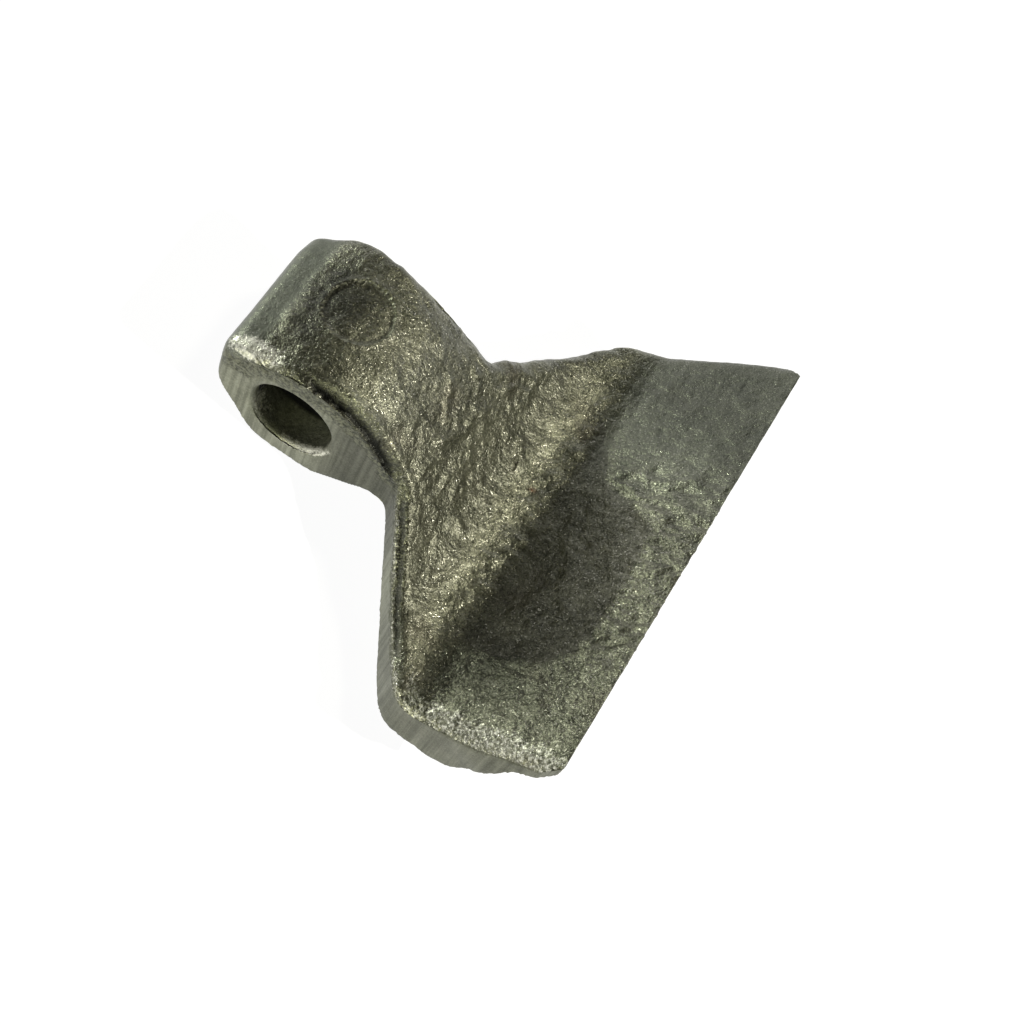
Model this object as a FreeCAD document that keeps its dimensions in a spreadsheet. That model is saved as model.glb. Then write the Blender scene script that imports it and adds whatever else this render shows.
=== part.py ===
import FreeCAD, Part

"""Shredder hammer: one drop forging for the rotor of a flail shredder.

The frame of the part: origin in the middle of the bolt bore, Y along the bore,
X from the bore to the cutting edge, Z up with the hammer lying on its eye and
its heel. The forging is drawn in its die frame, where Z is the direction that
the dies close and the flash is sheared in, and the body is then turned about
the bore until both places that it rests on touch the ground.
"""

import math
import os

import Sketcher

DOCUMENT_NAME = "ShredderHammer"
NODE = "hammer"
WHOLE_WIDTH = "2 * max(sizes.blade_half_width; sizes.shoulder_half_width)"

# Closeness in millimetres at which two places count as one.
TOUCH = 0.001

# Driving dimensions in millimetres, measured from the middle of the bore.
SIZES = {
    "bore_radius": 10.25,
    "bore_chamfer": 0.8,
    "eye_half_width": 20.0,
    "eye_back": 20.8,
    "eye_back_low": -1.8,
    "eye_back_high": 12.0,
    "eye_corner_radius": 5.0,
    "sole_drop": 17.4,
    "sole_back": -7.6,
    "sole_front": 8.5,
    "sole_back_radius": 9.0,
    "sole_front_radius": 6.0,
    "crest_ahead": 8.6,
    "crest_height": 25.3,
    "crest_radius": 26.0,
    "valley_ahead": 54.0,
    "valley_drop": 18.4,
    "valley_radius": 18.0,
    "edge_ahead": 93.6,
    "edge_height": 13.6,
    "edge_thickness": 6.4,
    "lip_ahead": 86.3,
    "lip_height": 0.0,
    "lip_radius": 6.0,
    "heel_front": 73.3,
    "heel_front_drop": 27.8,
    "heel_front_radius": 12.0,
    "heel_back": 49.5,
    "heel_back_drop": 31.0,
    "heel_back_radius": 4.0,
    "neck_under": 25.5,
    "neck_under_drop": 7.3,
    "neck_under_radius": 6.0,
    "notch_ahead": 28.8,
    "notch_radius": 4.0,
    "shoulder_ahead": 55.2,
    "shoulder_half_width": 57.7,
    "shoulder_radius": 10.0,
    "blade_half_width": 61.7,
    "tip_length": 4.4,
    "tip_depth": 2.5,
    "rim_radius": 3.2,
    "mark_radius": 8.3,
    "mark_ahead": 0.3,
    "mark_aside": 2.0,
    "mark_depth": 0.3,
    "trim_margin": 10.0,
}

document = FreeCAD.newDocument(DOCUMENT_NAME)

sheet = document.addObject("Spreadsheet::Sheet", "sizes")
for row, (alias, size) in enumerate(SIZES.items(), start=1):
    sheet.set(f"A{row}", alias)
    sheet.set(f"B{row}", str(size))
    sheet.setAlias(f"B{row}", alias)
document.recompute()

body = document.addObject("PartDesign::Body", NODE)
body.Label = NODE


def origin_plane(owner, role):
    """A body's own origin plane of a role, such as XZ_Plane."""
    for feature in owner.Origin.OriginFeatures:
        if feature.Role == role:
            return feature
    raise ValueError(f"{owner.Label} has no {role}")


def new_sketch(owner, name, role):
    """An empty sketch on one of a body's origin planes."""
    sketch = owner.newObject("Sketcher::SketchObject", name)
    sketch.AttachmentSupport = [(origin_plane(owner, role), "")]
    sketch.MapMode = "FlatFace"
    document.recompute()
    return sketch


def evaluate(expression):
    """The plain number that an expression on the sheet gives now."""
    result = sheet.evalExpression(expression)
    return float(getattr(result, "Value", result))


def bind(sketch, constraint, name, expression):
    """Add a constraint under a name and tie its value to the sheet."""
    index = sketch.addConstraint(constraint)
    sketch.renameConstraint(index, name)
    sketch.setExpression(f"Constraints.{name}", expression)


def place_point(sketch, geometry, position, corner):
    """Tie a point of the sketch to a corner's two distances from the origin."""
    name, across, up, _radius = corner
    bind(
        sketch,
        Sketcher.Constraint("DistanceX", -1, 1, geometry, position, evaluate(across)),
        f"{name}_across",
        across,
    )
    bind(
        sketch,
        Sketcher.Constraint("DistanceY", -1, 1, geometry, position, evaluate(up)),
        f"{name}_up",
        up,
    )


def add_circle(sketch, across, up, radius):
    """Draw a circle with its centre's two distances and its radius tied to the sheet."""
    centre = FreeCAD.Vector(evaluate(across), evaluate(up), 0)
    circle = sketch.addGeometry(Part.Circle(centre, FreeCAD.Vector(0, 0, 1), evaluate(radius)))
    place_point(sketch, circle, 3, ("centre", across, up, radius))
    bind(sketch, Sketcher.Constraint("Radius", circle, evaluate(radius)), "radius", radius)


def corner_trim(before, here, after, radius):
    """The two points where an arc of the radius meets a corner's sides, and its centre."""
    to_before = (before - here).normalize()
    to_after = (after - here).normalize()
    half_angle = to_before.getAngle(to_after) / 2
    reach = radius / math.tan(half_angle)
    centre = here + (to_before + to_after).normalize() * (radius / math.sin(half_angle))
    return here + to_before * reach, here + to_after * reach, centre


def arc_between(start, end, centre):
    """The short arc about a centre from start to end, and whether it runs clockwise."""
    axis = FreeCAD.Vector(0, 0, 1)
    clockwise = (start - centre).cross(end - centre).z < 0
    first, last = (end, start) if clockwise else (start, end)
    x_axis = FreeCAD.Vector(1, 0, 0)
    angles = []
    for point in (first, last):
        spoke = point - centre
        angles.append(math.atan2(x_axis.cross(spoke).z, x_axis.dot(spoke)))
    circle = Part.Circle(centre, axis, (start - centre).Length)
    return Part.ArcOfCircle(circle, angles[0], angles[1]), clockwise


def rounded_outline(sketch, corners):
    """Draw a closed outline through named corners and round those with a radius.

    A corner is its name, its two distances from the origin and its radius, all
    but the name as expressions on the sheet. A rounded corner keeps a
    construction point where its sides would meet. Returns the index of each
    corner's arc by the corner's name.
    """
    points = [FreeCAD.Vector(evaluate(across), evaluate(up), 0) for _, across, up, _ in corners]
    count = len(corners)
    starts = list(points)
    ends = list(points)
    centres = {}
    for index, (name, _across, _up, radius) in enumerate(corners):
        if radius is None:
            continue
        ends[index], starts[index], centres[name] = corner_trim(
            points[index - 1], points[index], points[(index + 1) % count], evaluate(radius)
        )

    lines = []
    for index in range(count):
        following = (index + 1) % count
        lines.append(sketch.addGeometry(Part.LineSegment(starts[index], ends[following])))

    arcs = {}
    for index, corner in enumerate(corners):
        name, _across, _up, radius = corner
        incoming = lines[index - 1]
        outgoing = lines[index]
        if radius is None:
            sketch.addConstraint(Sketcher.Constraint("Coincident", incoming, 2, outgoing, 1))
            place_point(sketch, outgoing, 1, corner)
            continue
        arc, clockwise = arc_between(ends[index], starts[index], centres[name])
        arc_index = sketch.addGeometry(arc)
        arcs[name] = arc_index
        near_end, far_end = (2, 1) if clockwise else (1, 2)
        sketch.addConstraint(Sketcher.Constraint("Tangent", incoming, 2, arc_index, near_end))
        sketch.addConstraint(Sketcher.Constraint("Tangent", arc_index, far_end, outgoing, 1))
        bind(
            sketch,
            Sketcher.Constraint("Radius", arc_index, evaluate(radius)),
            f"{name}_radius",
            radius,
        )
        vertex = sketch.addGeometry(Part.Point(points[index]), True)
        sketch.addConstraint(Sketcher.Constraint("PointOnObject", vertex, 1, incoming))
        sketch.addConstraint(Sketcher.Constraint("PointOnObject", vertex, 1, outgoing))
        place_point(sketch, vertex, 1, corner)
    return arcs


def mirrored(corners):
    """The same corners on the left side, in the other order."""
    return [
        (f"left_{name}", across, f"-({up})", radius)
        for name, across, up, radius in reversed(corners)
    ]


def rest_line(sketch, sole_arc, heel_arc):
    """Draw the ground under the sole and the heel, and name its slope rest_slope."""
    sole = sketch.Geometry[sole_arc]
    heel = sketch.Geometry[heel_arc]
    down = FreeCAD.Vector(0, -1, 0)
    ground = sketch.addGeometry(
        Part.LineSegment(
            sole.Center + down * sole.Radius,
            heel.Center + down * heel.Radius,
        ),
        True,
    )
    sketch.addConstraint(Sketcher.Constraint("Tangent", ground, 1, sole_arc))
    sketch.addConstraint(Sketcher.Constraint("Tangent", ground, 2, heel_arc))
    document.recompute()
    run = sketch.Geometry[ground]
    slope = math.atan2(run.EndPoint.y - run.StartPoint.y, run.EndPoint.x - run.StartPoint.x)
    index = sketch.addConstraint(Sketcher.Constraint("Angle", ground, slope))
    sketch.setDriving(index, False)
    sketch.renameConstraint(index, "rest_slope")


def measure_centre(sketch, arc, name):
    """Add two measuring constraints that give the centre of an arc to other features."""
    centre = sketch.Geometry[arc].Center
    for kind, distance, ending in (("DistanceX", centre.x, "across"), ("DistanceY", centre.y, "up")):
        index = sketch.addConstraint(Sketcher.Constraint(kind, -1, 1, arc, 3, distance))
        sketch.setDriving(index, False)
        sketch.renameConstraint(index, f"{name}_{ending}")


def face_normal(face, point):
    """A face's outward normal at a point on it."""
    across, along = face.Surface.parameter(point)
    return face.normalAt(across, along)


def rim_edges(shape):
    """Names of the edges where the sheared sides meet the top or the eye's back."""
    names = []
    back = -evaluate("sizes.eye_back")
    edge = evaluate("sizes.edge_ahead")
    for number, candidate in enumerate(shape.Edges, start=1):
        middle = candidate.valueAt((candidate.FirstParameter + candidate.LastParameter) / 2)
        faces = shape.ancestorsOfType(candidate, Part.Face)
        if len(faces) != 2:
            continue
        normals = [face_normal(face, middle) for face in faces]
        sheared = [abs(normal.z) < TOUCH < abs(normal.y) for normal in normals]
        if sheared[0] == sheared[1]:
            continue
        other = normals[1] if sheared[0] else normals[0]
        on_back = abs(middle.x - back) < TOUCH
        if (other.z > TOUCH or on_back) and middle.x < edge - TOUCH:
            names.append(f"Edge{number}")
    return names


def bore_edges(shape):
    """Names of the two circles where the bore opens in the eye's cheeks."""
    names = []
    for number, candidate in enumerate(shape.Edges, start=1):
        bounds = candidate.BoundBox
        at_cheek = abs(abs(bounds.Center.y) - evaluate("sizes.eye_half_width")) < TOUCH
        in_middle = math.hypot(bounds.Center.x, bounds.Center.z) < TOUCH
        bore_wide = abs(bounds.XLength - 2 * evaluate("sizes.bore_radius")) < TOUCH
        if at_cheek and in_middle and bore_wide and bounds.YLength < TOUCH:
            names.append(f"Edge{number}")
    return names


# Side profile of the forging: top from the eye to the edge, then the underside back.
side = new_sketch(body, "SideProfile", "XZ_Plane")
side_arcs = rounded_outline(
    side,
    [
        ("eye_back_top", "-sizes.eye_back", "sizes.eye_back_high", "sizes.eye_corner_radius"),
        ("crest", "sizes.crest_ahead", "sizes.crest_height", "sizes.crest_radius"),
        ("valley", "sizes.valley_ahead", "-sizes.valley_drop", "sizes.valley_radius"),
        ("edge_top", "sizes.edge_ahead", "sizes.edge_height", None),
        ("edge_under", "sizes.edge_ahead", "sizes.edge_height - sizes.edge_thickness", None),
        ("lip_root", "sizes.lip_ahead", "sizes.lip_height", "sizes.lip_radius"),
        ("heel_fore", "sizes.heel_front", "-sizes.heel_front_drop", "sizes.heel_front_radius"),
        ("heel_rear", "sizes.heel_back", "-sizes.heel_back_drop", "sizes.heel_back_radius"),
        ("neck", "sizes.neck_under", "-sizes.neck_under_drop", "sizes.neck_under_radius"),
        ("sole_fore", "sizes.sole_front", "-sizes.sole_drop", "sizes.sole_front_radius"),
        ("sole_rear", "sizes.sole_back", "-sizes.sole_drop", "sizes.sole_back_radius"),
        ("eye_back_foot", "-sizes.eye_back", "sizes.eye_back_low", None),
    ],
)
document.recompute()
rest_line(side, side_arcs["sole_rear"], side_arcs["heel_rear"])
measure_centre(side, side_arcs["crest"], "crest_centre")

blank = body.newObject("PartDesign::Pad", "ForgedBlank")
blank.Profile = side
blank.SideType = "Symmetric"
blank.setExpression("Length", f"{WHOLE_WIDTH} + 2 * sizes.trim_margin")
document.recompute()

# Plan outline that the trimming die shears: the eye, the flared wings and the blade.
outline = new_sketch(body, "TrimOutline", "XY_Plane")
edge_clear = "sizes.edge_ahead + sizes.trim_margin / 2"
right_side = [
    ("eye", "-sizes.eye_back - sizes.trim_margin", "-sizes.eye_half_width", None),
    ("notch", "sizes.notch_ahead", "-sizes.eye_half_width", "sizes.notch_radius"),
    ("shoulder", "sizes.shoulder_ahead", "-sizes.shoulder_half_width", "sizes.shoulder_radius"),
    ("edge_end", "sizes.edge_ahead", "-sizes.blade_half_width", None),
    ("edge_clear", edge_clear, "-sizes.blade_half_width", None),
]
rounded_outline(outline, right_side + mirrored(right_side))
frame_half_width = f"({WHOLE_WIDTH} / 2 + 2 * sizes.trim_margin)"
frame_back = "-sizes.eye_back - 2 * sizes.trim_margin"
frame_front = "sizes.edge_ahead + sizes.trim_margin"
rounded_outline(
    outline,
    [
        ("frame_back_right", frame_back, f"-{frame_half_width}", None),
        ("frame_front_right", frame_front, f"-{frame_half_width}", None),
        ("frame_front_left", frame_front, frame_half_width, None),
        ("frame_back_left", frame_back, frame_half_width, None),
    ],
)

trim = body.newObject("PartDesign::Pocket", "Trim")
trim.Profile = outline
trim.Type = "ThroughAll"
trim.SideType = "Symmetric"
document.recompute()

rim = body.newObject("PartDesign::Fillet", "Rim")
rim.Base = (trim, rim_edges(trim.Shape))
rim.setExpression("Radius", "sizes.rim_radius")
document.recompute()

# Both ends of the cutting edge are nipped off at a slant.
tip_sketch = new_sketch(body, "TipCorners", "XY_Plane")
tip_outside = f"-({WHOLE_WIDTH} / 2 + sizes.trim_margin)"
tip_shoulder = "-(sizes.blade_half_width - sizes.tip_depth)"
right_tip = [
    ("tip_start", "sizes.edge_ahead - sizes.tip_length", "-sizes.blade_half_width", None),
    ("tip_end", "sizes.edge_ahead", tip_shoulder, None),
    ("tip_clear", edge_clear, tip_shoulder, None),
    ("tip_far", edge_clear, tip_outside, None),
    ("tip_outside", "sizes.edge_ahead - sizes.tip_length", tip_outside, None),
]
rounded_outline(tip_sketch, right_tip)
rounded_outline(tip_sketch, mirrored(right_tip))
tips = body.newObject("PartDesign::Pocket", "Tips")
tips.Profile = tip_sketch
tips.Type = "ThroughAll"
tips.SideType = "Symmetric"
document.recompute()

# Shallow round print that the ejector pin leaves: the pin's end is ground to the crest.
pin = document.addObject("PartDesign::Body", "EjectorPin")
crest_across = "SideProfile.Constraints.crest_centre_across"
crest_up = "SideProfile.Constraints.crest_centre_up"
pin_sketch = new_sketch(pin, "PinSection", "XY_Plane")
pin_sketch.setExpression(
    "AttachmentOffset.Base.z", f"{crest_up} + (sizes.crest_radius + sizes.trim_margin) * 1mm"
)
add_circle(pin_sketch, "sizes.mark_ahead", "sizes.mark_aside", "sizes.mark_radius")
pin_rod = pin.newObject("PartDesign::Pad", "PinRod")
pin_rod.Profile = pin_sketch
pin_rod.Reversed = True
pin_rod.setExpression("Length", "sizes.crest_radius + sizes.trim_margin")
document.recompute()

ground_sketch = new_sketch(pin, "GroundEnd", "XZ_Plane")
add_circle(ground_sketch, crest_across, f"{crest_up} - sizes.mark_depth * 1mm", "sizes.crest_radius")
ground_end = pin.newObject("PartDesign::Pocket", "PinEnd")
ground_end.Profile = ground_sketch
ground_end.Type = "ThroughAll"
ground_end.SideType = "Symmetric"
document.recompute()

mark = body.newObject("PartDesign::Boolean", "Mark")
mark.Type = "Cut"
mark.setObjects([pin])
document.recompute()

bore_sketch = new_sketch(body, "BoreCircle", "XZ_Plane")
bore_circle = bore_sketch.addGeometry(
    Part.Circle(FreeCAD.Vector(0, 0, 0), FreeCAD.Vector(0, 0, 1), evaluate("sizes.bore_radius"))
)
bore_sketch.addConstraint(Sketcher.Constraint("Coincident", bore_circle, 3, -1, 1))
bind(
    bore_sketch,
    Sketcher.Constraint("Radius", bore_circle, evaluate("sizes.bore_radius")),
    "bore_radius",
    "sizes.bore_radius",
)
bore = body.newObject("PartDesign::Pocket", "Bore")
bore.Profile = bore_sketch
bore.Type = "ThroughAll"
bore.SideType = "Symmetric"
document.recompute()

bore_lip = body.newObject("PartDesign::Chamfer", "BoreLip")
bore_lip.Base = (bore, bore_edges(bore.Shape))
bore_lip.setExpression("Size", "sizes.bore_chamfer")
body.Tip = bore_lip
document.recompute()

# The whole forging turns about the bore until sole and heel stand on the ground.
body.Placement = FreeCAD.Placement(
    FreeCAD.Vector(0, 0, 0), FreeCAD.Rotation(FreeCAD.Vector(0, 1, 0), 1)
)
body.setExpression("Placement.Rotation.Angle", "SideProfile.Constraints.rest_slope")
document.recompute()

for item in document.Objects:
    if "Invalid" in item.State or "Error" in item.State:
        raise RuntimeError(f"{item.Label} did not build: {item.State}")

if body.Shape.isNull() or not body.Shape.isValid() or len(body.Shape.Solids) != 1:
    raise RuntimeError(f"{body.Label} is not one valid solid")

os.makedirs("parts", exist_ok=True)
body.Shape.exportStep(f"parts/{body.Label}.step")
box = body.Shape.BoundBox
print(f"{body.Label}: {body.Shape.Volume / 1000:.2f} cm3, slope {body.Placement.Rotation.Angle:.4f} rad")
print(f"box {box.XMin:.2f} {box.XMax:.2f} {box.YMin:.2f} {box.YMax:.2f} {box.ZMin:.2f} {box.ZMax:.2f}")
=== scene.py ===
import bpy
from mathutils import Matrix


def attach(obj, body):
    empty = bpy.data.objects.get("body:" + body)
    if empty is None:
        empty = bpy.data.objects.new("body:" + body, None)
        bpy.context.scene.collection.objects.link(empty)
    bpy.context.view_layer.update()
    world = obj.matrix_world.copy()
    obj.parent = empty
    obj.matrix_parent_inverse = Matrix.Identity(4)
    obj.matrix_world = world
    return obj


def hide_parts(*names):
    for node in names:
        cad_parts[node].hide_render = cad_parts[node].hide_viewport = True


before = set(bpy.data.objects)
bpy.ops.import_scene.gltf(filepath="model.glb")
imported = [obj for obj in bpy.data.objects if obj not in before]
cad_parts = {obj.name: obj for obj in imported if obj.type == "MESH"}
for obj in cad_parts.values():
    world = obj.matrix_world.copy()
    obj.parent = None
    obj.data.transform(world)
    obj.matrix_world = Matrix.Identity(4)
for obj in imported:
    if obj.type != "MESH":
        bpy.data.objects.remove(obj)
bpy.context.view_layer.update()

"""A forged shredder hammer on a pale studio floor.

The forging is drawn in its die frame in millimetres: X from the bore to the
cutting edge, Y along the bore, Z the direction that the dies close and shear
in. The part's own frame is the die frame turned about the bore, because the
hammer lies on its eye and its heel.
"""

import logging
import math
from dataclasses import dataclass, field
from enum import Enum

import bpy
import numpy as np
from mathutils import Matrix, Vector, noise
from mathutils.bvhtree import BVHTree

LOG = logging.getLogger("shredder_hammer")
MM = 0.001
Colour = tuple[float, float, float]
Point = tuple[float, float]


class Zone(Enum):
    """Kinds of surface on the forging, and the painted light and shade on it; each name is also a mesh
    attribute.
    """

    SHEARED = "sheared"
    # This zone holds painted shade in creases and scratches.
    CREASE_SHADE = "groove"
    # This zone holds wear on rims, corners and the bore's lip, and painted highlights there.
    RUBBED_AND_HIGHLIT = "rubbed"
    SMOOTH = "smooth"
    TORN = "torn"
    # The next two zones are painted shade and painted light: colour darkened or lightened to stand in for
    # shade and light.
    PAINTED_SHADE = "darker"
    PAINTED_LIGHT = "lighter"
    RUST = "rust"


@dataclass(frozen=True)
class Eye:
    """The bored eye's sizes in millimetres, which the forging and its finish share."""

    half_width: float = 20.0
    back: float = 20.8
    bore_radius: float = 10.25
    lip_round: float = 1.7
    # How far in from each end the bore keeps the steel's colours before its painted shade starts.
    mouth_depth: float = 2.5


@dataclass(frozen=True)
class DieFrame:
    """The turn between the dies' frame and the part's frame."""

    slope: float = 0.2388

    def matrix(self) -> np.ndarray:
        """The rotation that takes a point of the part's frame to the die frame."""
        cosine, sine = math.cos(self.slope), math.sin(self.slope)
        return np.array([[cosine, 0, sine], [0, 1, 0], [-sine, 0, cosine]])

    def to_die(self, points: np.ndarray) -> np.ndarray:
        """Turn points or directions into the die frame."""
        return points @ self.matrix().T

    def to_part(self, points: np.ndarray) -> np.ndarray:
        """Turn points or directions into the part's frame."""
        return points @ self.matrix()


def smoothstep(values: np.ndarray, low: float, high: float) -> np.ndarray:
    """A soft step over an array.

    Args:
        values: the numbers to judge.
        low: where the step is 0.
        high: where the step is 1; it may lie below low.

    Returns:
        Numbers from 0 to 1.
    """
    share = np.clip((values - low) / (high - low), 0.0, 1.0)
    return share * share * (3.0 - 2.0 * share)


def roughness_field(points: np.ndarray, size: float, seed: float, octaves: int = 2) -> np.ndarray:
    """Layered noise over points in space.

    Args:
        points: the points in millimetres, one a row.
        size: the width of the largest lumps in millimetres.
        seed: an offset that gives each use its own pattern.
        octaves: how many finer layers are added.

    Returns:
        One number a point, mostly from -1 to 1.
    """
    scaled = points / size + seed
    return np.array([noise.fractal(Vector(row), 1.0, 2.0, octaves) for row in scaled])


def ridge_field(points: np.ndarray, size: float, seed: float) -> np.ndarray:
    """Noise of creases and lumps, from 0 to about 1, over points in millimetres.

    Args:
        points: the points in millimetres, one a row.
        size: the width of the lumps in millimetres.
        seed: an offset that gives each use its own pattern.

    Returns:
        One number a point.
    """
    scaled = points / size + seed
    return np.array([abs(noise.noise(Vector(row))) for row in scaled])


def distance_to_path(plan: np.ndarray, path: tuple[Point, ...]) -> tuple[np.ndarray, np.ndarray]:
    """How far points lie from a path of straight runs, and how far along it.

    Args:
        plan: the points seen from above, in millimetres.
        path: the corners of the path.

    Returns:
        The distances, and the share of the path's length at the nearest place.
    """
    corners = np.array(path, float)
    lengths = np.linalg.norm(np.diff(corners, axis=0), axis=1)
    before = np.concatenate([[0.0], np.cumsum(lengths)])
    nearest = np.full(len(plan), np.inf)
    along = np.zeros(len(plan))
    for index, length in enumerate(lengths):
        start = corners[index]
        direction = (corners[index + 1] - start) / length
        share = np.clip((plan - start) @ direction, 0.0, length)
        gap = np.linalg.norm(plan - start - share[:, None] * direction, axis=1)
        closer = gap < nearest
        nearest[closer] = gap[closer]
        along[closer] = (before[index] + share[closer]) / before[-1]
    return nearest, along


@dataclass(frozen=True)
class Unevenness:
    """One pattern of waves or lumps, with its width and its height in millimetres."""

    width: float
    height: float
    seed: float
    octaves: int = 2

    def heights(self, points: np.ndarray) -> np.ndarray:
        """The pattern's height at each point, in millimetres."""
        return roughness_field(points, self.width, self.seed, self.octaves) * self.height


@dataclass(frozen=True)
class Crease:
    """A groove, or a ridge where its rise is positive, along a path on the top."""

    path: tuple[Point, ...]
    width: float
    rise: float
    taper: float = 0.12
    raggedness: float = 0.25
    # dark: how strongly the crease's colour is turned near black, as painted shade in it.
    dark: float = 0.0

    def profile(self, plan: np.ndarray, seed: float) -> np.ndarray:
        """The crease's strength at each point seen from above, from 0 to 1.

        Args:
            plan: the points seen from above, in millimetres.
            seed: an offset that gives the crease its own ragged edge.

        Returns:
            The strengths, from 0 to 1.
        """
        gap, along = distance_to_path(plan, self.path)
        ragged = roughness_field(np.column_stack([plan, np.zeros(len(plan))]), 1.8, seed)
        reach = self.width * (1.0 + self.raggedness * ragged)
        ends = smoothstep(along, 0.0, self.taper) * smoothstep(along, 1.0, 1.0 - self.taper)
        return np.exp(-((gap / reach) ** 2)) * ends


@dataclass(frozen=True)
class Lump:
    """An oval lump, or a pit where its rise is negative, on the top."""

    centre: Point
    radii: Point
    rise: float
    turn: float = 0.0
    firmness: float = 1.0

    def profile(self, plan: np.ndarray) -> np.ndarray:
        """The lump's strength at each point seen from above, from 0 to 1.

        Args:
            plan: the points seen from above, in millimetres.

        Returns:
            The strengths, from 0 to 1.
        """
        offset = plan - np.array(self.centre)
        cosine, sine = math.cos(self.turn), math.sin(self.turn)
        across = (offset[:, 0] * cosine + offset[:, 1] * sine) / self.radii[0]
        along = (offset[:, 1] * cosine - offset[:, 0] * sine) / self.radii[1]
        return np.exp(-((across**2 + along**2) ** self.firmness))


@dataclass(frozen=True)
class Swell:
    """A place where the forging stands out, or draws back, from its die's form."""

    centre: tuple[float, float, float]
    radii: tuple[float, float, float]
    shift: tuple[float, float, float]

    def offsets(self, points: np.ndarray) -> np.ndarray:
        """The shift of each point in millimetres, fading away from the centre.

        Args:
            points: the points in the die frame, in millimetres.

        Returns:
            The shifts, one a point.
        """
        away = (points - np.array(self.centre)) / np.array(self.radii)
        strength = np.exp(-np.sum(away**2, axis=1))
        return np.outer(strength, self.shift)


@dataclass(frozen=True)
class Scratch:
    """A crack or scratch through points on the surface, cut along the surface's normal."""

    path: tuple[tuple[float, float, float], ...]
    width: float
    depth: float
    # dark: how strongly the scratch's colour is turned near black, as painted shade in it.
    dark: float = 0.6

    def profile(self, points: np.ndarray) -> np.ndarray:
        """The scratch's strength at each point, from 0 to 1.

        Args:
            points: the points in the die frame, in millimetres.

        Returns:
            The strengths, from 0 to 1.
        """
        nearest = np.full(len(points), np.inf)
        for first, last in zip(self.path, self.path[1:]):
            start = np.array(first)
            run = np.array(last) - start
            share = np.clip((points - start) @ run / (run @ run), 0.0, 1.0)
            gap = np.linalg.norm(points - start - share[:, None] * run, axis=1)
            nearest = np.minimum(nearest, gap)
        return np.exp(-((nearest / self.width) ** 2))


@dataclass
class Relief:
    """Points of the forging with the directions and zones that shape them."""

    points: np.ndarray
    normals: np.ndarray
    zones: dict[Zone, np.ndarray] = field(default_factory=dict)

    def plan(self) -> np.ndarray:
        """The points seen from above."""
        return self.points[:, :2]

    def upward(self) -> np.ndarray:
        """How far each point faces up, from 0 on the walls to 1 on the top."""
        return smoothstep(self.normals[:, 2], 0.05, 0.45)

    def push(self, amount: np.ndarray) -> None:
        """Move every point along its own normal by an amount in millimetres."""
        self.points = self.points + self.normals * amount[:, None]

    def lift(self, amount: np.ndarray) -> None:
        """Move every point along the direction that the dies close in."""
        self.points = self.points + np.outer(amount, (0.0, 0.0, 1.0))


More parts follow.
